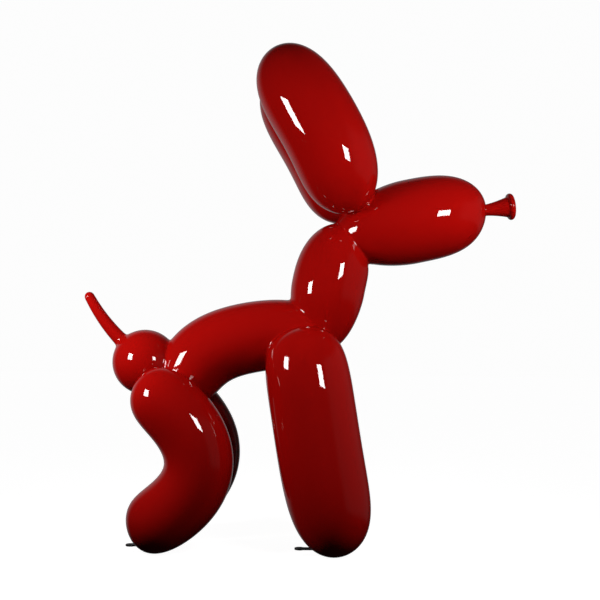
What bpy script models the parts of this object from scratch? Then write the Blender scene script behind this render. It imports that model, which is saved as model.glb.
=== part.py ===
"""Balloon poodle: a floor statue of a dog twisted from one long balloon.

The poodle is one glass-fibre cast in gloss paint, so it is one solid here. A flat steel lug is let into the back
of each foot. The dog faces +X, its left side is +Y, +Z is up, and the origin is on the floor, below the middle of
its outline.

Each balloon bubble is a sphere whose rings are slid along a bowed spine. The pose and the girths of the figure
are shares of FIGURE_HEIGHT. The lugs, the soles and the fits have their own sizes in metres.
"""

import math
from collections import namedtuple

import bmesh
import bpy
from mathutils import Matrix, Vector

# Overall size, in metres: floor to the top of the ears.
FIGURE_HEIGHT = 2.0

# Anchor lugs: flat steel bar with a round head and one hole, in metres. The reach is how far behind the sole's
# centre the head ends.
LUG_NECK_WIDTH = 0.028
LUG_HEAD_DIAMETER = 0.040
LUG_HOLE_DIAMETER = 0.014
LUG_THICKNESS = 0.006
LUG_LENGTH = 0.130
LUG_HEIGHT = 0.029
FRONT_LUG_REACH = 0.152
HIND_LUG_REACH = 0.114

# The far front lug is let in deeper by this much, so that it doesn't show past the near leg.
FAR_FRONT_LUG_DEEPER = 0.015

# How much of each round foot is planed off for its sole, and the gap that the cast keeps round a lug, in metres.
SOLE_PLANED = 0.002
LUG_FIT_GAP = 0.0003

# A bubble's form. The spine is four (x, z) points: it starts at the first, ends at the last, and bows towards the
# two between. The spread says how far each of them stands out from the middle of the dog. The fullness says how
# blunt the two ends are. All but the fullness are shares of the height.
Form = namedtuple("Form", "spine spread radius fullness")

EAR = Form(
    spine=((-0.0641, 0.9945), (0.0394, 0.8422), (0.0723, 0.7930), (0.0936, 0.6792)),
    spread=(0.0660, 0.0794, 0.0780, 0.0416),
    radius=0.0815,
    fullness=(3.4, 3.7),
)
MUZZLE = Form(
    spine=((0.0669, 0.6305), (0.2306, 0.6768), (0.3409, 0.6932), (0.3778, 0.6950)),
    spread=(0.0, 0.0, 0.0, 0.0),
    radius=0.0861,
    fullness=(1.8, 3.2),
)
NECK = Form(
    spine=((0.1112, 0.6419), (0.0560, 0.6075), (0.0452, 0.4935), (0.0494, 0.4019)),
    spread=(0.0, 0.0, 0.0, 0.0),
    radius=0.0757,
    fullness=(3.2, 1.8),
)
FRONT_LEG = Form(
    spine=((-0.0029, 0.4486), (0.0377, 0.2470), (0.0378, 0.1668), (0.0888, 0.0022)),
    spread=(0.0743, 0.0863, 0.0898, 0.0899),
    radius=0.0840,
    fullness=(6.4, 4.3),
)
BODY = Form(
    spine=((0.0661, 0.4420), (-0.1519, 0.4363), (-0.2381, 0.4113), (-0.2400, 0.2774)),
    spread=(0.0, 0.0, 0.0, 0.0),
    radius=0.0729,
    fullness=(3.5, 4.7),
)
HIND_LEG = Form(
    spine=((-0.3181, 0.3369), (-0.1557, 0.2385), (-0.1494, 0.1139), (-0.3318, 0.0359)),
    spread=(0.0997, 0.0992, 0.0866, 0.0701),
    radius=0.0675,
    fullness=(6.5, 7.5),
)

# Tail: a small ball, and the thin end of the balloon that was never blown up.
TAIL_BALL_CENTRE = (-0.3187, 0.3749)
TAIL_BALL_RADIUS = 0.0667
TAIL_TIP = ((-0.3503, 0.4018), (-0.3951, 0.4423), (-0.4187, 0.4766), (-0.4402, 0.5170))
TAIL_TIP_RADII = (0.0158, 0.0098)

# Nozzle: the trumpet with a rolled lip that the balloon is blown through.
NOZZLE_START = (0.3731, 0.6953)
NOZZLE_LIP = (0.4290, 0.7038)
NOZZLE_THROAT_RADIUS = 0.0114
NOZZLE_FLARE_RADIUS = 0.0210
NOZZLE_FLARE_POWER = 1.6
LIP_RADIUS = 0.0212
LIP_ROLL_RADIUS = 0.0060
LIP_ROLL_FROM = math.radians(150)
LIP_ROLL_TO = math.radians(-90)
MOUTH_RADIUS = 0.0103
MOUTH_DEPTH = 0.0200

# Mesh fineness: facets round a bubble, and rings along it.
FACETS = 24
RINGS = 18
BALL_RINGS = 12
SLIM_FACETS = 12
SLIM_RINGS = 12
FLARE_STEPS = 5
LIP_ROLL_STEPS = 8
LUG_HEAD_STEPS = 20
HOLE_FACETS = 24
SPINE_STEPS = 60
FOOT_SEARCH_STEPS = 400

SIDES = (("left", 1), ("right", -1))

RED_PAINT = (0.330, 0.0030, 0.0022, 1.0)
BLACK_PAINT = (0.012, 0.012, 0.013, 1.0)


def place(share, spread=0.0):
    """A point of the figure in metres, from its (x, z) shares and its spread to the side."""
    return Vector((share[0], spread, share[1])) * FIGURE_HEIGHT


def bowed_spine(start, first_bow, second_bow, end):
    """Points along the curve that leaves start towards first_bow and reaches end from second_bow."""
    points = []
    for step in range(SPINE_STEPS + 1):
        done = step / SPINE_STEPS
        left = 1 - done
        points.append(
            start * left**3
            + first_bow * (3 * left**2 * done)
            + second_bow * (3 * left * done**2)
            + end * done**3
        )
    return points


def form_spine(form, side=1):
    """The spine of a form in metres. A side of 1 is the dog's left and -1 its right."""
    return bowed_spine(*(place(point, side * out) for point, out in zip(form.spine, form.spread)))


def spine_frame(points, share):
    """The point at a share of the spine's length, and the direction of the spine there."""
    reached = [0.0]
    for a, b in zip(points, points[1:]):
        reached.append(reached[-1] + (b - a).length)
    wanted = share * reached[-1]
    index = 1
    while index < len(points) - 1 and reached[index] < wanted:
        index += 1
    a, b = points[index - 1], points[index]
    along = (wanted - reached[index - 1]) / (b - a).length
    return a.lerp(b, along), (b - a).normalized()


def swell(share, fullness):
    """Radius at a share of a bubble's length, as a part of its full radius. A fullness of 2 gives an ellipsoid,
    and a higher one a longer straight middle with a blunter end."""
    off_middle = 2 * share - 1
    power = fullness[0] if off_middle < 0 else fullness[1]
    return math.sqrt(max(0.0, 1 - abs(off_middle) ** power))


def new_object(name, shape, material):
    """An object from a bmesh, shaded smooth, with its faces pointing out."""
    shape.normal_update()
    bmesh.ops.recalc_face_normals(shape, faces=shape.faces)
    if shape.calc_volume(signed=True) < 0:
        bmesh.ops.reverse_faces(shape, faces=shape.faces)
    mesh = bpy.data.meshes.new(name)
    shape.to_mesh(mesh)
    shape.free()
    mesh.shade_smooth()
    mesh.materials.append(material)
    made = bpy.data.objects.new(name, mesh)
    bpy.context.scene.collection.objects.link(made)
    return made


def slid_sphere(name, spine, radius_at, material, facets=FACETS, rings=RINGS):
    """A sphere whose rings are slid along the spine and given the radius of radius_at(share). It is turned a
    quarter of a facet, so that where two mirrored bubbles meet, the edges of one fall between those of the other."""
    shape = bmesh.new()
    bmesh.ops.create_uvsphere(shape, u_segments=facets, v_segments=rings, radius=1.0)
    for vertex in shape.verts:
        share = min(1.0, max(0.0, (1 - vertex.co.z) / 2))
        centre, forward = spine_frame(spine, share)
        side = (Vector((0, 1, 0)) - forward * forward.y).normalized()
        over = forward.cross(side)
        angle = math.atan2(vertex.co.y, vertex.co.x) + math.tau / facets / 4
        vertex.co = centre + (side * math.cos(angle) + over * math.sin(angle)) * radius_at(share)
    return new_object(name, shape, material)


def bubble(name, form, material, side=1):
    """One balloon bubble."""

    def radius_at(share):
        return form.radius * FIGURE_HEIGHT * swell(share, form.fullness)

    return slid_sphere(name, form_spine(form, side), radius_at, material)


def tail_ball(material):
    """The pompon at the end of the tail's root."""
    shape = bmesh.new()
    bmesh.ops.create_uvsphere(
        shape,
        u_segments=FACETS,
        v_segments=BALL_RINGS,
        radius=TAIL_BALL_RADIUS * FIGURE_HEIGHT,
        matrix=Matrix.Translation(place(TAIL_BALL_CENTRE)),
    )
    return new_object("tail_ball", shape, material)


def tail_tip(material):
    """The slim curl above the ball, a little thinner towards its round end."""
    root, tip = (radius * FIGURE_HEIGHT for radius in TAIL_TIP_RADII)
    spine = bowed_spine(*(place(point) for point in TAIL_TIP))
    length = sum((b - a).length for a, b in zip(spine, spine[1:]))

    def radius_at(share):
        tapered = root + (tip - root) * share
        to_end = min(share, 1 - share) * length
        rounded = math.sqrt(max(0.0, 1 - (1 - min(1.0, to_end / tapered)) ** 2))
        return tapered * rounded

    return slid_sphere("tail_tip", spine, radius_at, material, SLIM_FACETS, SLIM_RINGS)


def nozzle(material):
    """A turned trumpet: throat, flare, rolled lip and a shallow mouth, spun round the nozzle's own axis."""
    start, lip = place(NOZZLE_START), place(NOZZLE_LIP)
    axis = (lip - start).normalized()
    length = (lip - start).length
    throat = NOZZLE_THROAT_RADIUS * FIGURE_HEIGHT
    flare = NOZZLE_FLARE_RADIUS * FIGURE_HEIGHT
    roll = LIP_ROLL_RADIUS * FIGURE_HEIGHT
    lip_radius = LIP_RADIUS * FIGURE_HEIGHT
    mouth_floor = length - MOUTH_DEPTH * FIGURE_HEIGHT

    # Each point of the profile is how far along the axis it lies, and its radius.
    profile = [(0.0, 0.0), (0.0, throat)]
    for step in range(1, FLARE_STEPS + 1):
        share = step / FLARE_STEPS
        profile.append(((length - roll) * share, throat + (flare - throat) * share**NOZZLE_FLARE_POWER))
    for step in range(LIP_ROLL_STEPS + 1):
        turn = LIP_ROLL_FROM + (LIP_ROLL_TO - LIP_ROLL_FROM) * step / LIP_ROLL_STEPS
        profile.append((length + roll * math.cos(turn), lip_radius + roll * math.sin(turn)))
    profile.append((mouth_floor, MOUTH_RADIUS * FIGURE_HEIGHT))
    profile.append((mouth_floor, 0.0))

    shape = bmesh.new()
    turned = Matrix.Translation(start) @ axis.to_track_quat("Z", "Y").to_matrix().to_4x4()
    points = [shape.verts.new(turned @ Vector((radius, 0, along))) for along, radius in profile]
    edges = [shape.edges.new(pair) for pair in zip(points, points[1:])]
    bmesh.ops.spin(
        shape,
        geom=points + edges,
        cent=start,
        axis=axis,
        angle=math.tau,
        steps=FACETS,
        use_merge=True,
    )
    bmesh.ops.remove_doubles(shape, verts=shape.verts, dist=1e-5)
    return new_object("nozzle", shape, material)


def lowest_point(form, side):
    """Where a leg's round foot is lowest, in metres."""
    spine = form_spine(form, side)
    down = Vector((0, 0, -1))
    reached = []
    for step in range(FOOT_SEARCH_STEPS + 1):
        share = 0.5 + 0.5 * step / FOOT_SEARCH_STEPS
        centre, forward = spine_frame(spine, share)
        across = (down - forward * forward.dot(down)).normalized()
        reached.append(centre + across * form.radius * FIGURE_HEIGHT * swell(share, form.fullness))
    return min(reached, key=lambda point: point.z)


def flat_outline(shape, corners, height):
    """A closed loop of edges through the (x, y) corners."""
    points = [shape.verts.new((x, y, height)) for x, y in corners]
    return [shape.edges.new((a, b)) for a, b in zip(points, points[1:] + points[:1])]


def lug(name, tip, material):
    """A steel lug that points to -X. The tip is where its head ends, half-way up its thickness."""
    head = LUG_HEAD_DIAMETER / 2
    neck = LUG_NECK_WIDTH / 2
    hole = LUG_HOLE_DIAMETER / 2
    head_centre = tip.x + head
    square_end = tip.x + LUG_LENGTH
    bottom = tip.z - LUG_THICKNESS / 2

    # The head's round runs from one side of the neck to the other.
    neck_angle = math.asin(neck / head)
    corners = [(square_end, tip.y - neck), (square_end, tip.y + neck)]
    for step in range(LUG_HEAD_STEPS + 1):
        turn = neck_angle + (math.tau - 2 * neck_angle) * step / LUG_HEAD_STEPS
        corners.append((head_centre + head * math.cos(turn), tip.y + head * math.sin(turn)))
    rim = []
    for step in range(HOLE_FACETS):
        turn = math.tau * step / HOLE_FACETS
        rim.append((head_centre + hole * math.cos(turn), tip.y + hole * math.sin(turn)))

    shape = bmesh.new()
    edges = flat_outline(shape, corners, bottom) + flat_outline(shape, rim, bottom)
    bmesh.ops.triangle_fill(shape, edges=edges, use_beauty=True)
    raised = bmesh.ops.extrude_face_region(shape, geom=list(shape.faces))
    lifted = [item for item in raised["geom"] if isinstance(item, bmesh.types.BMVert)]
    bmesh.ops.translate(shape, verts=lifted, vec=(0, 0, LUG_THICKNESS))
    return new_object(name, shape, material)


def lug_slot(name, tip, material):
    """The pocket that the cast keeps for a lug's neck."""
    low = Vector((tip.x, -LUG_NECK_WIDTH / 2, -LUG_THICKNESS / 2))
    high = Vector((tip.x + LUG_LENGTH, LUG_NECK_WIDTH / 2, LUG_THICKNESS / 2))
    middle = Vector((0, tip.y, tip.z))
    gap = Vector((LUG_FIT_GAP, LUG_FIT_GAP, LUG_FIT_GAP))
    return block(name, middle + low - gap, middle + high + gap, material)


def painted(name, colour, roughness, metallic=0.0):
    """A plain paint."""
    material = bpy.data.materials.new(name)
    material.use_nodes = True
    shader = material.node_tree.nodes["Principled BSDF"]
    shader.inputs["Base Color"].default_value = colour
    shader.inputs["Roughness"].default_value = roughness
    shader.inputs["Metallic"].default_value = metallic
    return material


def merge(target, tool, operation):
    """Join the tool to the target, or cut it out, with a live Boolean."""
    tool.hide_render = True
    tool.display_type = "WIRE"
    modifier = target.modifiers.new(f"{operation.lower()}_{tool.name}", "BOOLEAN")
    modifier.operation = operation
    modifier.object = tool
    modifier.solver = "EXACT"


def block(name, low, high, material):
    """A plain box between two corners."""
    shape = bmesh.new()
    bmesh.ops.create_cube(shape, size=1.0)
    bmesh.ops.scale(shape, vec=high - low, verts=shape.verts)
    bmesh.ops.translate(shape, vec=(high + low) / 2, verts=shape.verts)
    return new_object(name, shape, material)


def world_box(objects):
    """Lowest and highest corners of the objects as the viewport shows them."""
    bpy.context.view_layer.update()
    graph = bpy.context.evaluated_depsgraph_get()
    corners = []
    for item in objects:
        shown = item.evaluated_get(graph)
        corners += [shown.matrix_world @ vertex.co for vertex in shown.data.vertices]
    low = Vector(min(corner[axis] for corner in corners) for axis in range(3))
    high = Vector(max(corner[axis] for corner in corners) for axis in range(3))
    return low, high


def main():
    for leftover in list(bpy.data.objects):
        bpy.data.objects.remove(leftover, do_unlink=True)

    red = painted("gloss_red_paint", RED_PAINT, roughness=0.08)
    black = painted("black_painted_steel", BLACK_PAINT, roughness=0.45, metallic=0.0)

    poodle = bubble("balloon_poodle", NECK, red)
    bubbles = [bubble("muzzle", MUZZLE, red), bubble("body", BODY, red)]
    bubbles += [bubble(f"ear_{name}", EAR, red, side) for name, side in SIDES]

    # Each leg is let down until its round foot reaches just under the floor, where its sole is planed flat.
    lug_tips = {}
    for pair, form, reach in (("front", FRONT_LEG, FRONT_LUG_REACH), ("hind", HIND_LEG, HIND_LUG_REACH)):
        for name, side in SIDES:
            leg = bubble(f"{pair}_leg_{name}", form, red, side)
            foot = lowest_point(form, side)
            leg.location.z = -foot.z - SOLE_PLANED
            lug_tips[f"{pair}_{name}"] = Vector((foot.x - reach, foot.y, LUG_HEIGHT))
            bubbles.append(leg)
    lug_tips["front_left"].x += FAR_FRONT_LUG_DEEPER
    bubbles += [tail_ball(red), tail_tip(red), nozzle(red)]
    for piece in bubbles:
        merge(poodle, piece, "UNION")

    aside = FIGURE_HEIGHT
    floor = block("floor_cut", Vector((-aside, -aside, -aside)), Vector((aside, aside, 0)), black)
    merge(poodle, floor, "DIFFERENCE")

    lugs = []
    slots = []
    for where, tip in lug_tips.items():
        slot = lug_slot(f"slot_{where}", tip, black)
        merge(poodle, slot, "DIFFERENCE")
        slots.append(slot)
        lugs.append(lug(f"anchor_lug_{where}", tip, black))

    figure = bpy.data.objects.new("figure", None)
    bpy.context.scene.collection.objects.link(figure)
    for item in [poodle, floor] + bubbles + slots + lugs:
        item.parent = figure
    low, high = world_box([poodle] + lugs)
    figure.location.x = -(low.x + high.x) / 2


main()
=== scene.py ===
# %% [markdown]
# # A balloon poodle, cast in one piece and painted gloss red
#
# The real object is a floor statue, 2 m tall. It has the form of a poodle twisted from one long balloon:
# fat bubbles pinched off from each other, a curl of tail that was never blown up, and the nozzle at the
# tip of the muzzle. Such a statue is laid up in glass-fibre from a mould, so its bubbles run into each
# other with a small fillet, and it is sprayed and polished until it reflects the lamps around it like
# glass.
#
# The CAD model gives the frame: its size, its place and the plain solids. This script dresses it.

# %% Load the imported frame
import math

import bmesh
import bpy
import numpy as np
from mathutils import Matrix, Vector


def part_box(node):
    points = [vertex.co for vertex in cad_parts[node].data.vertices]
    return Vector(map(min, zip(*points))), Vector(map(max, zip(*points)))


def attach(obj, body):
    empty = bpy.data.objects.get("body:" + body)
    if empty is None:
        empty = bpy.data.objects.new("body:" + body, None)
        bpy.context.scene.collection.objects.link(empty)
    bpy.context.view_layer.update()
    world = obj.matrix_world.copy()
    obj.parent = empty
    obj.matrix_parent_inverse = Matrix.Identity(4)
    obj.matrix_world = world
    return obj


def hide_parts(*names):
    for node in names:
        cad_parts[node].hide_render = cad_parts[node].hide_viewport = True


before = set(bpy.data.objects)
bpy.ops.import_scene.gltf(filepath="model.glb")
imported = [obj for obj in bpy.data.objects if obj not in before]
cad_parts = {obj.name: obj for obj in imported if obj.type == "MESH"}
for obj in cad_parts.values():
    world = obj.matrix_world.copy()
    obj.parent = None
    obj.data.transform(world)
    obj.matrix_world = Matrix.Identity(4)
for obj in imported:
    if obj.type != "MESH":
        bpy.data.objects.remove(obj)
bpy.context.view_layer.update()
print("CAD nodes:", sorted(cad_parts))

# %% [markdown]
# ## The camera
#
# The photograph looks at the dog's right side, square on, from a little under the middle of its height.
# The dog stands upright in the picture although the horizon lies below the middle of the frame, so the
# lens is shifted rather than tilted. The picture also leans by less than a degree, so the camera rolls by
# as much.

# %% Set up the camera
FRAME_PIXELS = 600
FOCAL_PIXELS = 855.0
HORIZON_BELOW_MIDDLE = 60.0
SENSOR_WIDTH = 36.0
CAMERA_PLACE = Vector((0.0066, -3.521, 0.7661))
CAMERA_ROLL = 0.0122

camera_data = bpy.data.cameras.new("photo_camera")
camera_data.sensor_width = SENSOR_WIDTH
camera_data.lens = FOCAL_PIXELS / FRAME_PIXELS * SENSOR_WIDTH
camera_data.shift_y = HORIZON_BELOW_MIDDLE / FRAME_PIXELS
camera = bpy.data.objects.new("photo_camera", camera_data)
upright = Matrix.Rotation(math.radians(90), 4, "X") @ Matrix.Rotation(CAMERA_ROLL, 4, "Z")
camera.matrix_world = Matrix.Translation(CAMERA_PLACE) @ upright
bpy.context.scene.collection.objects.link(camera)
bpy.context.scene.camera = camera
print("camera: %.1f mm lens, shifted by %.3f" % (camera_data.lens, camera_data.shift_y))

# %% [markdown]
# ## The bubbles
#
# A balloon bubble is a tube that bulges: round in section, widest in its middle and closed by two blunt
# ends. Each one here has a bowed spine and a girth that swells and falls along it. A higher fullness
# gives a longer straight middle with a blunter end. The values are shares of the figure's height, because
# the pose is one free form.

# %% The pose and the girths, as shares of the height
FIGURE_HEIGHT = 2.0

# Each bubble: its spine as (x, z), how far each point stands out from the middle, its girth, and how
# full each end is.
EAR = (
    ((-0.0641, 0.9945), (0.0394, 0.8422), (0.0723, 0.7930), (0.0936, 0.6792)),
    (0.0660, 0.0794, 0.0780, 0.0416),
    0.0815,
    (3.4, 3.7),
)
MUZZLE = (
    ((0.0669, 0.6305), (0.2306, 0.6768), (0.3409, 0.6932), (0.3778, 0.6950)),
    (0.0, 0.0, 0.0, 0.0),
    0.0861,
    (1.8, 3.2),
)
NECK = (
    ((0.1112, 0.6419), (0.0560, 0.6075), (0.0452, 0.4935), (0.0494, 0.4019)),
    (0.0, 0.0, 0.0, 0.0),
    0.0757,
    (3.2, 1.8),
)
FRONT_LEG = (
    ((-0.0029, 0.4486), (0.0377, 0.2470), (0.0378, 0.1668), (0.0888, 0.0022)),
    (0.0743, 0.0863, 0.0898, 0.0899),
    0.0840,
    (6.4, 4.3),
)
BODY = (
    ((0.0661, 0.4420), (-0.1519, 0.4363), (-0.2381, 0.4113), (-0.2400, 0.2774)),
    (0.0, 0.0, 0.0, 0.0),
    0.0729,
    (3.5, 4.7),
)
HIND_LEG = (
    ((-0.3181, 0.3369), (-0.1557, 0.2385), (-0.1494, 0.1139), (-0.3318, 0.0359)),
    (0.0997, 0.0992, 0.0866, 0.0701),
    0.0675,
    (6.5, 7.5),
)
TAIL_BALL = ((-0.3187, 0.3749), 0.0667)
TAIL_TIP = ((-0.3503, 0.4018), (-0.3951, 0.4423), (-0.4187, 0.4766), (-0.4402, 0.5170))
TAIL_TIP_RADII = (0.0158, 0.0098)
NOZZLE_START = (0.3731, 0.6953)
NOZZLE_LIP = (0.4290, 0.7038)
NOZZLE_THROAT_RADIUS = 0.0114
NOZZLE_FLARE_RADIUS = 0.0210
NOZZLE_FLARE_POWER = 1.6
LIP_RADIUS = 0.0212
LIP_ROLL_RADIUS = 0.0060
MOUTH_DEPTH = 0.0200
SOLE_PLANED = 0.002


def place(share, spread=0.0):
    """A point of the figure in metres, from its (x, z) shares and how far it stands out."""
    return Vector((share[0], spread, share[1])) * FIGURE_HEIGHT


# %% [markdown]
# ### One form for both the mesh and its polish
#
# On a surface as glossy as this, every flat facet would show as a kink in a reflection. So each bubble is
# kept as a formula too: for any spot in space it says how far outside the bubble that spot lies, and
# which way is out. The mesh is built first, with ordinary tools, and its corners are then pressed onto
# the formula.

# %% A bubble that can be asked how far away it is
SPINE_STEPS = 240
NEAREST_TRIES = 33
NEAREST_ROUNDS = 5
LEAST_BEND = 1e-4
LEAST_STRETCH = 0.2
SHARE_NUDGE = 1e-4
TINY = 1e-9


class Bubble:
    """A swollen tube round a bowed spine.

    squared_girth(share) gives its radius squared at a share of its length, and is below 0 past an end.
    """

    def __init__(self, corners, squared_girth):
        self.corners = np.array([tuple(corner) for corner in corners])
        self.squared_girth = squared_girth
        self.steps = np.linspace(0.0, 1.0, SPINE_STEPS + 1)
        places = self.at(self.steps)
        pieces = np.linalg.norm(np.diff(places, axis=0), axis=1)
        self.reached = np.concatenate([[0.0], np.cumsum(pieces)])
        self.length = self.reached[-1]

    def at(self, step):
        """Places along the spine."""
        done = step[:, None]
        left = 1 - done
        a, b, c, d = self.corners
        return a * left**3 + b * 3 * left**2 * done + c * 3 * left * done**2 + d * done**3

    def heading(self, step):
        """How fast the place changes along the spine, and how fast that changes."""
        done = step[:, None]
        left = 1 - done
        a, b, c, d = self.corners
        first = 3 * ((b - a) * left**2 + (c - b) * 2 * left * done + (d - c) * done**2)
        second = 6 * ((c - 2 * b + a) * left + (d - 2 * c + b) * done)
        return first, second

    def nearest(self, spots):
        """The step of the spine that lies nearest to each spot."""
        tries = np.linspace(0.0, 1.0, NEAREST_TRIES)
        trial = self.at(tries)
        apart = (trial**2).sum(1)[None] - 2 * spots @ trial.T
        step = tries[apart.argmin(1)]
        for _ in range(NEAREST_ROUNDS):
            first, second = self.heading(step)
            off = self.at(step) - spots
            slope = (off * first).sum(1)
            bend = (first**2).sum(1) + (off * second).sum(1)
            step = np.clip(step - slope / np.maximum(bend, LEAST_BEND), 0.0, 1.0)
        return step

    def field(self, spots):
        """How far each spot lies outside the bubble, in metres, and the direction that leads out."""
        step = self.nearest(spots)
        first, second = self.heading(step)
        pace = np.linalg.norm(first, axis=1)[:, None]
        ahead = first / pace
        curl = (second - ahead * (second * ahead).sum(1)[:, None]) / pace**2
        off = spots - self.at(step)
        past = (off * ahead).sum(1)
        past = np.where((step <= 0.0) | (step >= 1.0), past, 0.0)
        across = off - past[:, None] * ahead
        share = (np.interp(step, self.steps, self.reached) + past) / self.length
        higher = self.squared_girth(share + SHARE_NUDGE)
        lower = self.squared_girth(share - SHARE_NUDGE)
        slope = (higher - lower) / (2 * SHARE_NUDGE * self.length)
        stretch = np.where(past == 0.0, 1 - (off * curl).sum(1), 1.0)
        value = (across**2).sum(1) - self.squared_girth(share)
        out = 2 * across - (slope / np.maximum(stretch, LEAST_STRETCH))[:, None] * ahead
        size = np.maximum(np.linalg.norm(out, axis=1), TINY)
        return value / size, out / size[:, None]

    def ring(self, share):
        """The spine's place and direction at a share of its length, and the radius there."""
        step = np.interp([share * self.length], self.reached, self.steps)
        first, _ = self.heading(step)
        radius = math.sqrt(max(0.0, float(self.squared_girth(np.array([share]))[0])))
        return Vector(self.at(step)[0]), Vector(first[0]).normalized(), radius


def swell(radius, fullness):
    """The squared girth of a bubble with two blunt ends."""

    def squared_girth(share):
        off_middle = 2 * share - 1
        power = np.where(off_middle < 0, fullness[0], fullness[1])
        return radius**2 * (1 - np.abs(off_middle) ** power)

    return squared_girth


def taper(root, tip, length):
    """The squared girth of a slim rod with round ends, which thins from root to tip."""

    def squared_girth(share):
        radius = root + (tip - root) * share
        to_end = np.minimum(share, 1 - share) * length / radius
        return radius**2 * (1 - (1 - np.minimum(1.0, to_end)) ** 2)

    return squared_girth


def swollen(form, side=0):
    """A bubble from the table above. A side of 1 is the dog's left and -1 its right."""
    spine, spread, radius, fullness = form
    corners = [place(point, side * out) for point, out in zip(spine, spread)]
    return Bubble(corners, swell(radius * FIGURE_HEIGHT, fullness))


# %% [markdown]
# ### Standing on the floor
#
# The four legs are let down until their round feet reach just under the floor. Later on the floor plane
# cuts each foot flat, as the maker planes it, so that the statue stands on four small soles.

# %% Make every bubble
FOOT_STEPS = 400


def let_down(leg):
    """Moves a leg straight down until its round foot is SOLE_PLANED under the floor."""
    shares = np.linspace(0.5, 1.0, FOOT_STEPS)
    lowest = 1.0
    for share in shares:
        centre, ahead, radius = leg.ring(share)
        across = (Vector((0, 0, -1)) + ahead * ahead.z).normalized()
        lowest = min(lowest, (centre + across * radius).z)
    leg.corners[:, 2] -= lowest + SOLE_PLANED
    return leg


ball_centre = place(TAIL_BALL[0])
ball_radius = TAIL_BALL[1] * FIGURE_HEIGHT
tail_corners = [place(point) for point in TAIL_TIP]
tail_root, tail_end = (radius * FIGURE_HEIGHT for radius in TAIL_TIP_RADII)
tail_length = Bubble(tail_corners, None).length
nozzle_start, nozzle_lip = place(NOZZLE_START), place(NOZZLE_LIP)
nozzle_axis = (nozzle_lip - nozzle_start).normalized()
throat = NOZZLE_THROAT_RADIUS * FIGURE_HEIGHT

bubbles = {
    "muzzle": swollen(MUZZLE),
    "neck": swollen(NECK),
    "body": swollen(BODY),
    "tail_tip": Bubble(tail_corners, taper(tail_root, tail_end, tail_length)),
}
for side_name, side in (("left", 1), ("right", -1)):
    bubbles["ear_" + side_name] = swollen(EAR, side)
    bubbles["front_leg_" + side_name] = let_down(swollen(FRONT_LEG, side))
    bubbles["hind_leg_" + side_name] = let_down(swollen(HIND_LEG, side))
print("bubbles:", ", ".join("%s %.2f m" % (name, bubble.length) for name, bubble in bubbles.items()))

# %% [markdown]
# ### From spheres to one skin
#
# Each bubble starts as a sphere. Its rings are slid along the spine and given the girth of their place.
# The spheres overlap, so a voxel remesh melts them into one closed skin of even squares. The other way, a
# Boolean union, keeps every ring but leaves slivers along the creases, and those are just where the
# fillets have to go.

# %% Slide the spheres' rings along the spines
SPHERE_FACETS = 72
SPHERE_RINGS = 56
VOXEL = 0.0110


def slid_sphere(shape, bubble):
    """Adds a sphere to the bmesh, with its rings slid along the bubble's spine."""
    made = bmesh.ops.create_uvsphere(shape, u_segments=SPHERE_FACETS, v_segments=SPHERE_RINGS, radius=1.0)
    rings = {}
    for vertex in made["verts"]:
        share = round(min(1.0, max(0.0, (1 - vertex.co.z) / 2)), 6)
        if share not in rings:
            rings[share] = bubble.ring(share)
        centre, ahead, radius = rings[share]
        side = (Vector((0, 1, 0)) - ahead * ahead.y).normalized()
        over = ahead.cross(side)
        angle = math.atan2(vertex.co.y, vertex.co.x)
        vertex.co = centre + (side * math.cos(angle) + over * math.sin(angle)) * radius


skin_shape = bmesh.new()
for bubble in bubbles.values():
    slid_sphere(skin_shape, bubble)
bmesh.ops.create_uvsphere(
    skin_shape,
    u_segments=SPHERE_FACETS,
    v_segments=SPHERE_RINGS,
    radius=ball_radius,
    matrix=Matrix.Translation(ball_centre),
)
bmesh.ops.recalc_face_normals(skin_shape, faces=skin_shape.faces)


def mesh_object(name, shape):
    """Puts a bmesh into a new object that sits at the origin."""
    mesh = bpy.data.meshes.new(name)
    shape.to_mesh(mesh)
    shape.free()
    made = bpy.data.objects.new(name, mesh)
    bpy.context.scene.collection.objects.link(made)
    return made


def settle_modifiers(piece):
    """Replaces a piece's mesh by what its modifiers make of it."""
    graph = bpy.context.evaluated_depsgraph_get()
    mesh = bpy.data.meshes.new_from_object(piece.evaluated_get(graph))
    piece.modifiers.clear()
    piece.data = mesh


skin = mesh_object("poodle_skin", skin_shape)
remesh = skin.modifiers.new("melt_together", "REMESH")
remesh.mode = "VOXEL"
remesh.voxel_size = VOXEL
settle_modifiers(skin)
print("skin after the remesh:", len(skin.data.polygons), "faces")

# %% [markdown]
# ### Press the skin onto the blended form
#
# The form of the whole figure is a soft minimum of the bubbles' distances. Far from a crease it is just
# the nearest bubble. Within a few millimetres of one, the two run together in a hollow fillet, as gelcoat
# does in a mould.

# %% Blend the bubbles' formulas
FILLET = 0.0055
PRESS_ROUNDS = 4
LONGEST_PRESS = 0.01
LEAST_STEEPNESS = 0.15
CREASE_REACH = 0.022

ball_place = np.array(ball_centre)


def ball_field(spots):
    """As Bubble.field, for the tail's ball."""
    off = spots - ball_place
    away = np.linalg.norm(off, axis=1)
    return away - ball_radius, off / np.maximum(away, TINY)[:, None]


fields = [bubble.field for bubble in bubbles.values()] + [ball_field]


def figure_field(spots):
    """How far each spot lies outside the figure, the direction out, and how many bubbles are close by."""
    heights = np.empty((len(fields), len(spots)))
    outs = np.empty((len(fields), len(spots), 3))
    for index, field in enumerate(fields):
        heights[index], outs[index] = field(spots)
    lowest = heights.min(0)
    pull = np.exp(-(heights - lowest) / FILLET)
    total = pull.sum(0)
    value = lowest - FILLET * np.log(total)
    out = (pull[:, :, None] * outs).sum(0) / total[:, None]
    close = (np.abs(heights) < CREASE_REACH).sum(0)
    return value, out, close


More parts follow.
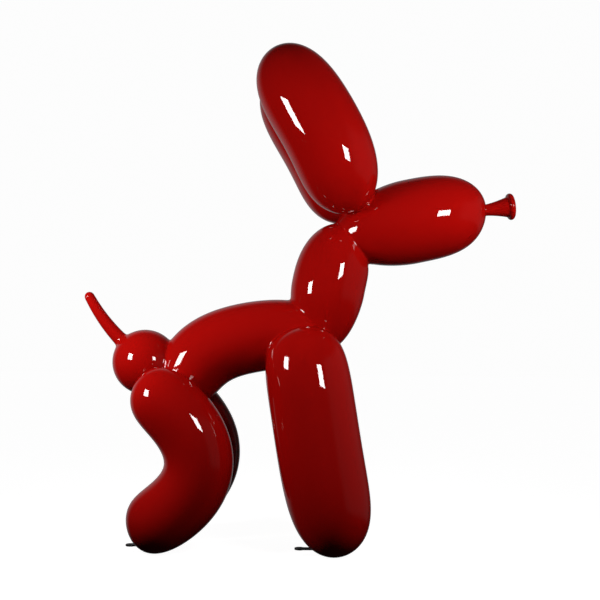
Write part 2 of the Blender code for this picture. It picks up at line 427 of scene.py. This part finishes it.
def corners_of(mesh):
    """A mesh's corners as an array."""
    spots = np.empty(len(mesh.vertices) * 3)
    mesh.vertices.foreach_get("co", spots)
    return spots.reshape(-1, 3)


def press(mesh):
    """Moves every corner of the mesh onto the blended form."""
    spots = corners_of(mesh)
    for _ in range(PRESS_ROUNDS):
        value, out, close = figure_field(spots)
        steepness = np.maximum((out**2).sum(1), LEAST_STEEPNESS)
        pressed = np.clip(value, -LONGEST_PRESS, LONGEST_PRESS)
        spots -= (pressed / steepness)[:, None] * out
    mesh.vertices.foreach_set("co", spots.ravel())
    mesh.update()
    return close


close = press(skin.data)
print("corners near a crease:", int((close > 1).sum()))

# %% [markdown]
# ### Finer squares where the bubbles meet
#
# A fillet of a few millimetres needs fine squares, and the rest of the skin doesn't. So only the faces
# along the creases, and those of the slim tail tip, are divided once more and pressed again.

# %% Divide the creases
TAIL_REACH = 0.004

fine = bmesh.new()
fine.from_mesh(skin.data)
tail_height, _ = bubbles["tail_tip"].field(corners_of(skin.data))
coarse = (close > 1) | (tail_height < TAIL_REACH)
wanted = [face for face in fine.faces if any(coarse[corner.index] for corner in face.verts)]
edges = list(dict.fromkeys(edge for face in wanted for edge in face.edges))
bmesh.ops.subdivide_edges(fine, edges=edges, cuts=1, use_grid_fill=True)
fine.to_mesh(skin.data)
fine.free()
press(skin.data)
print("skin with fine creases:", len(skin.data.polygons), "faces")

# %% [markdown]
# ### The soles
#
# The floor plane cuts the four round feet. The holes are closed with flat faces, so the statue really
# stands.

# %% Plane the feet
ON_THE_FLOOR = 1e-5

soles = bmesh.new()
soles.from_mesh(skin.data)
everything = list(soles.verts) + list(soles.edges) + list(soles.faces)
bmesh.ops.bisect_plane(soles, geom=everything, plane_co=(0, 0, 0), plane_no=(0, 0, -1), clear_outer=True)
rims = [edge for edge in soles.edges if edge.is_boundary]
bmesh.ops.holes_fill(soles, edges=rims, sides=0)
on_floor = [face for face in soles.faces if abs(face.calc_center_median().z) < ON_THE_FLOOR]
print("soles closed with", len(on_floor), "faces")
soles.to_mesh(skin.data)
soles.free()

# %% [markdown]
# ## The nozzle
#
# The end that the balloon is blown through is a trumpet with a rolled lip. It is turned: half of its
# outline is drawn as a chain of corners and spun round its axis. A Boolean union then joins it to the
# muzzle.

# %% Turn the nozzle
NOZZLE_FACETS = 96
FLARE_STEPS = 26
ROLL_STEPS = 22
MOUTH_STEPS = 10
WELD = 1e-5
ROLL_FROM = math.radians(152)
ROLL_TO = math.radians(-100)

# Shares of the throat's radius: the stub that is hidden in the muzzle, the mouth's far end, and the last two
# corners of its floor as (how much deeper, how wide).
STUB_LENGTH = 0.5
STUB_GIRTH = 0.7
MOUTH_GIRTH = 0.75
MOUTH_POWER = 0.6
MOUTH_BOTTOM = ((0.2, 0.4), (0.25, 0.0))

nozzle_length = (nozzle_lip - nozzle_start).length
flare = NOZZLE_FLARE_RADIUS * FIGURE_HEIGHT
lip_radius = LIP_RADIUS * FIGURE_HEIGHT
roll = LIP_ROLL_RADIUS * FIGURE_HEIGHT
mouth_floor = nozzle_length - MOUTH_DEPTH * FIGURE_HEIGHT

stub = -throat * STUB_LENGTH
outline = [(stub, 0.0), (stub, throat * STUB_GIRTH), (0.0, throat)]
for step in range(1, FLARE_STEPS + 1):
    share = step / FLARE_STEPS
    outline.append(((nozzle_length - roll) * share, throat + (flare - throat) * share**NOZZLE_FLARE_POWER))
for step in range(ROLL_STEPS + 1):
    turn = ROLL_FROM + (ROLL_TO - ROLL_FROM) * step / ROLL_STEPS
    outline.append((nozzle_length + roll * math.cos(turn), lip_radius + roll * math.sin(turn)))
mouth_start_along, mouth_start_radius = outline[-1]
for step in range(1, MOUTH_STEPS + 1):
    share = step / MOUTH_STEPS
    along = mouth_start_along + (mouth_floor - mouth_start_along) * share
    narrower = (throat * MOUTH_GIRTH - mouth_start_radius) * share**MOUTH_POWER
    outline.append((along, mouth_start_radius + narrower))
for deeper, wide in MOUTH_BOTTOM:
    outline.append((mouth_floor - throat * deeper, throat * wide))

turned = Matrix.Translation(nozzle_start) @ nozzle_axis.to_track_quat("Z", "Y").to_matrix().to_4x4()
trumpet = bmesh.new()
chain = [trumpet.verts.new(turned @ Vector((radius, 0, along))) for along, radius in outline]
links = [trumpet.edges.new(pair) for pair in zip(chain, chain[1:])]
bmesh.ops.spin(
    trumpet,
    geom=chain + links,
    cent=nozzle_start,
    axis=nozzle_axis,
    angle=math.tau,
    steps=NOZZLE_FACETS,
    use_merge=True,
)
bmesh.ops.remove_doubles(trumpet, verts=trumpet.verts, dist=WELD)
trumpet.normal_update()
bmesh.ops.recalc_face_normals(trumpet, faces=trumpet.faces)
if trumpet.calc_volume(signed=True) < 0:
    bmesh.ops.reverse_faces(trumpet, faces=trumpet.faces)
nozzle = mesh_object("nozzle_tool", trumpet)

join = skin.modifiers.new("join_nozzle", "BOOLEAN")
join.operation = "UNION"
join.object = nozzle
join.solver = "EXACT"
settle_modifiers(skin)
bpy.data.objects.remove(nozzle, do_unlink=True)
print("skin with its nozzle:", len(skin.data.polygons), "faces")

# %% [markdown]
# ### Polish
#
# Each corner of the skin now lies on the blended form, and the form knows which way is out to a hair.
# Those directions are stored as the mesh's own normals, so that the edge of a reflected lamp runs as
# clean as on lacquer.

# %% Store the form's own normals
ON_THE_FORM = 0.0004
FACES_DOWN = -0.9999

skin.data.shade_smooth()
spots = corners_of(skin.data)
value, out, _ = figure_field(spots)
out /= np.linalg.norm(out, axis=1)[:, None]
own = np.empty(len(skin.data.vertices) * 3)
skin.data.vertices.foreach_get("normal", own)
own = own.reshape(-1, 3)
normals = np.where((np.abs(value) < ON_THE_FORM)[:, None], out, own)
loop_vertices = np.empty(len(skin.data.loops), dtype=np.int64)
skin.data.loops.foreach_get("vertex_index", loop_vertices)
loop_normals = normals[loop_vertices]
for polygon in skin.data.polygons:
    if polygon.normal.z < FACES_DOWN and abs(polygon.center.z) < ON_THE_FLOOR:
        for index in polygon.loop_indices:
            loop_normals[index] = (0.0, 0.0, -1.0)
skin.data.normals_split_custom_set(loop_normals.tolist())

# The CAD figure is built of flat facets, a hair smaller. The skin is fitted to its box, with the soles on
# the floor.
box_low, box_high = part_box("balloon_poodle")
low, high = Vector(spots.min(0)), Vector(spots.max(0))
to_middle = Matrix.Translation(((box_low.x + box_high.x) / 2, (box_low.y + box_high.y) / 2, 0))
ratios = [min(1.0, (box_high[i] - box_low[i]) / (high[i] - low[i])) for i in range(2)]
ratios.append(min(1.0, box_high.z / high.z))
from_middle = Matrix.Translation((-(low.x + high.x) / 2, -(low.y + high.y) / 2, 0))
skin.data.transform(to_middle @ Matrix.Diagonal(ratios + [1.0]) @ from_middle)
triangles = sum(len(polygon.vertices) - 2 for polygon in skin.data.polygons)
print("skin: %d triangles, fitted by %.4f x %.4f x %.4f" % (triangles, *ratios))

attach(skin, "root")
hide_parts("balloon_poodle")

# %% [markdown]
# ## The red paint
#
# Automotive paint on such a statue is a deep red base under a clear coat. The base is matt and takes the
# light softly, and the coat adds mirror-like reflections. Sprayed coats are never quite flat: a very
# faint orange peel.

# %% Mix the red paint
RED = (0.480, 0.0036, 0.0024, 1.0)
RED_THIN = (0.445, 0.0032, 0.0021, 1.0)
CLOUD_SCALE = 2.2
SMUDGE_SCALE = 7.0
RED_ROUGHNESS = (0.32, 0.42)
PEEL_SCALE = 160.0
PEEL_STRENGTH = 0.02
PEEL_HEIGHT = 0.0006
COAT_ROUGHNESS = 0.015
COAT_IOR = 1.5


def new_material(name):
    """A material with an empty node tree but for the shader and the output."""
    material = bpy.data.materials.new(name)
    material.use_nodes = True
    tree = material.node_tree
    return material, tree.nodes, tree.links, tree.nodes["Principled BSDF"]


def noise(nodes, links, spots, scale, detail=2.0, roughness=0.5):
    """A noise texture on the object's own coordinates."""
    texture = nodes.new("ShaderNodeTexNoise")
    texture.inputs["Scale"].default_value = scale
    texture.inputs["Detail"].default_value = detail
    texture.inputs["Roughness"].default_value = roughness
    links.new(spots.outputs["Object"], texture.inputs["Vector"])
    return texture


def ramp(nodes, links, source, stops):
    """A colour ramp over a texture's value. Each stop is a position and a colour."""
    made = nodes.new("ShaderNodeValToRGB")
    elements = made.color_ramp.elements
    while len(elements) < len(stops):
        elements.new(0.5)
    for element, (position, colour) in zip(elements, stops):
        element.position = position
        element.color = colour
    links.new(source, made.inputs["Fac"])
    return made


def spread_value(nodes, links, source, low, high):
    """Maps a texture's value to the range from low to high."""
    made = nodes.new("ShaderNodeMapRange")
    made.inputs["To Min"].default_value = low
    made.inputs["To Max"].default_value = high
    links.new(source, made.inputs["Value"])
    return made


red, nodes, links, shader = new_material("gloss_red_paint")
spots_node = nodes.new("ShaderNodeTexCoord")
cloud = noise(nodes, links, spots_node, CLOUD_SCALE, detail=3.0)
shade = ramp(nodes, links, cloud.outputs["Fac"], [(0.35, RED_THIN), (0.65, RED)])
links.new(shade.outputs["Color"], shader.inputs["Base Color"])
smudge = noise(nodes, links, spots_node, SMUDGE_SCALE, detail=4.0)
matt = spread_value(nodes, links, smudge.outputs["Fac"], *RED_ROUGHNESS)
links.new(matt.outputs["Result"], shader.inputs["Roughness"])
peel = noise(nodes, links, spots_node, PEEL_SCALE, detail=1.0)
bump = nodes.new("ShaderNodeBump")
bump.inputs["Strength"].default_value = PEEL_STRENGTH
bump.inputs["Distance"].default_value = PEEL_HEIGHT
links.new(peel.outputs["Fac"], bump.inputs["Height"])
links.new(bump.outputs["Normal"], shader.inputs["Normal"])
shader.inputs["Specular IOR Level"].default_value = 0.0
shader.inputs["Coat Weight"].default_value = 1.0
shader.inputs["Coat Roughness"].default_value = COAT_ROUGHNESS
shader.inputs["Coat IOR"].default_value = COAT_IOR
skin.data.materials.clear()
skin.data.materials.append(red)

# %% [markdown]
# ## The steel lugs
#
# A flat lug sticks out behind each foot. It is cut from steel bar, drilled, and painted black, and it
# takes the bolt or the stake that holds the statue down. Here each CAD lug keeps its shape and gets the
# paint.

# %% Paint the lugs
BLACK = (0.011, 0.011, 0.012, 1.0)
BLACK_WORN = (0.030, 0.029, 0.028, 1.0)
SPECKLE_SCALE = 120.0
BLACK_ROUGHNESS = (0.35, 0.6)

black, nodes, links, shader = new_material("black_painted_steel")
spots_node = nodes.new("ShaderNodeTexCoord")
speckle = noise(nodes, links, spots_node, SPECKLE_SCALE, detail=5.0, roughness=0.6)
shade = ramp(nodes, links, speckle.outputs["Fac"], [(0.45, BLACK), (0.75, BLACK_WORN)])
links.new(shade.outputs["Color"], shader.inputs["Base Color"])
matt = spread_value(nodes, links, speckle.outputs["Fac"], *BLACK_ROUGHNESS)
links.new(matt.outputs["Result"], shader.inputs["Roughness"])
for name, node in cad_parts.items():
    if name.startswith("anchor_lug"):
        node.data.materials.clear()
        node.data.materials.append(black)

# %% [markdown]
# ## The studio
#
# The picture shows a plain pale ground, and the paint reflects two soft boxes in an otherwise dim room.
# The floor is a large pale sheet. It and the pale backdrop are seen by the camera, but they add almost
# nothing to the reflections, as when a photographer hangs black cloth round a glossy object. Two lamps
# are seen only as mirror images in the coat. Three others only light the red beneath it, so that
# brightness and reflections can be set apart.

# %% Lay the floor
FLOOR_HALF = 40.0
FLOOR_SHADES = [(0.3, (0.28, 0.28, 0.28, 1.0)), (0.7, (0.32, 0.32, 0.32, 1.0))]
FLOOR_GRAIN_SCALE = 30.0
FLOOR_ROUGHNESS = 0.9
FLOOR_GLOW = 0.97

sheet = bmesh.new()
bmesh.ops.create_grid(sheet, x_segments=1, y_segments=1, size=FLOOR_HALF)
floor = mesh_object("studio_floor", sheet)
floor_paint, nodes, links, shader = new_material("pale_floor")
spots_node = nodes.new("ShaderNodeTexCoord")
grain = noise(nodes, links, spots_node, FLOOR_GRAIN_SCALE, detail=3.0)
shade = ramp(nodes, links, grain.outputs["Fac"], FLOOR_SHADES)
links.new(shade.outputs["Color"], shader.inputs["Base Color"])
shader.inputs["Roughness"].default_value = FLOOR_ROUGHNESS
shader.inputs["Specular IOR Level"].default_value = 0.0
shader.inputs["Emission Color"].default_value = (1.0, 1.0, 1.0, 1.0)
shader.inputs["Emission Strength"].default_value = FLOOR_GLOW
floor.data.materials.append(floor_paint)
floor.visible_glossy = False
floor.visible_diffuse = False

# %% Hang the lamps
LAMP_AIM = Vector((0.0, 0.0, 1.0))

# Each lamp: its azimuth in degrees, its distance, height and size in metres, its watts, and whether only its
# mirror image shows. Azimuth 0 is behind the camera, and a positive one is to the camera's right.
LAMPS = {
    "left_mirrored": (-55, 2.43, 1.33, (0.55, 0.65), 30.0, True),
    "right_mirrored": (31, 3.07, 1.52, (0.60, 0.68), 34.0, True),
    "left_light": (-60, 1.6, 1.25, (0.5, 0.5), 13.5, False),
    "right_high_light": (30, 1.6, 1.8, (0.5, 0.5), 9.5, False),
    "right_low_light": (60, 1.6, 1.2, (0.5, 0.5), 6.5, False),
}


def soft_box(name, azimuth, distance, height, size, power, mirrored):
    """A soft box aimed at the dog."""
    turn = math.radians(azimuth)
    spot = Vector((distance * math.sin(turn), -distance * math.cos(turn), height))
    facing = (spot - LAMP_AIM).to_track_quat("Z", "Y").to_matrix().to_4x4()
    data = bpy.data.lights.new(name, "AREA")
    data.shape = "RECTANGLE"
    data.size, data.size_y = size
    data.energy = power
    lamp = bpy.data.objects.new(name, data)
    lamp.matrix_world = Matrix.Translation(spot) @ facing
    lamp.visible_glossy = mirrored
    lamp.visible_diffuse = not mirrored
    bpy.context.scene.collection.objects.link(lamp)


for name, settings in LAMPS.items():
    soft_box(name, *settings)
print("lamps:", len(LAMPS))

# %% Light the room
DARK = (0.004, 0.004, 0.004, 1.0)
ROOM = (0.014, 0.014, 0.014, 1.0)
BEHIND = (0.30, 0.30, 0.31, 1.0)
RIGHT_WALL = (0.07, 0.07, 0.07, 1.0)
BACKDROP = (0.98, 0.98, 0.98, 1.0)

# Where the brighter parts of the room fade in and out, as components of the direction that one looks in.
FLOOR_TO_WALL = (-0.3, 0.1)
BEHIND_STARTS = (0.35, 0.85)
BEHIND_RIGHT_END = (0.60, -0.1)
BEHIND_BOTTOM = (-0.55, -0.15)
BEHIND_TOP = (0.95, 0.6)
WALL_STARTS = (0.60, 0.80)
WALL_BOTTOM = (-0.32, -0.18)
WALL_TOP = (0.55, 0.40)

world = bpy.data.worlds.new("dim_room")
bpy.context.scene.world = world
world.use_nodes = True
nodes, links = world.node_tree.nodes, world.node_tree.links
backdrop = nodes["Background"]
backdrop.inputs["Color"].default_value = BACKDROP
room = nodes.new("ShaderNodeBackground")
way = nodes.new("ShaderNodeTexCoord")
parts = nodes.new("ShaderNodeSeparateXYZ")
links.new(way.outputs["Generated"], parts.inputs["Vector"])


def fade(axis, start, end):
    """How far a direction has come from start to end along an axis, from 0 to 1."""
    made = nodes.new("ShaderNodeMapRange")
    made.interpolation_type = "SMOOTHSTEP"
    made.inputs["From Min"].default_value = start
    made.inputs["From Max"].default_value = end
    links.new(parts.outputs[axis], made.inputs["Value"])
    return made.outputs["Result"]


def times(first, second):
    """The product of two values."""
    made = nodes.new("ShaderNodeMath")
    made.operation = "MULTIPLY"
    links.new(first, made.inputs[0])
    links.new(second, made.inputs[1])
    return made.outputs["Value"]


def tinted(below, fac, colour):
    """Mixes a colour over another by a value."""
    made = nodes.new("ShaderNodeMix")
    made.data_type = "RGBA"
    links.new(fac, made.inputs["Factor"])
    if isinstance(below, tuple):
        made.inputs["A"].default_value = below
    else:
        links.new(below, made.inputs["A"])
    made.inputs["B"].default_value = colour
    return made.outputs["Result"]


upright_band = times(fade("Z", *BEHIND_BOTTOM), fade("Z", *BEHIND_TOP))
behind = times(times(fade("Y", *BEHIND_STARTS), fade("X", *BEHIND_RIGHT_END)), upright_band)
wall_band = times(fade("Z", *WALL_BOTTOM), fade("Z", *WALL_TOP))
right_wall = times(fade("X", *WALL_STARTS), wall_band)
above_floor = tinted(DARK, fade("Z", *FLOOR_TO_WALL), ROOM)
room_tint = tinted(tinted(above_floor, right_wall, RIGHT_WALL), behind, BEHIND)
links.new(room_tint, room.inputs["Color"])
path = nodes.new("ShaderNodeLightPath")
mix = nodes.new("ShaderNodeMixShader")
links.new(path.outputs["Is Camera Ray"], mix.inputs["Fac"])
links.new(room.outputs["Background"], mix.inputs[1])
links.new(backdrop.outputs["Background"], mix.inputs[2])
links.new(mix.outputs["Shader"], nodes["World Output"].inputs["Surface"])
bpy.context.scene.view_settings.view_transform = "Standard"
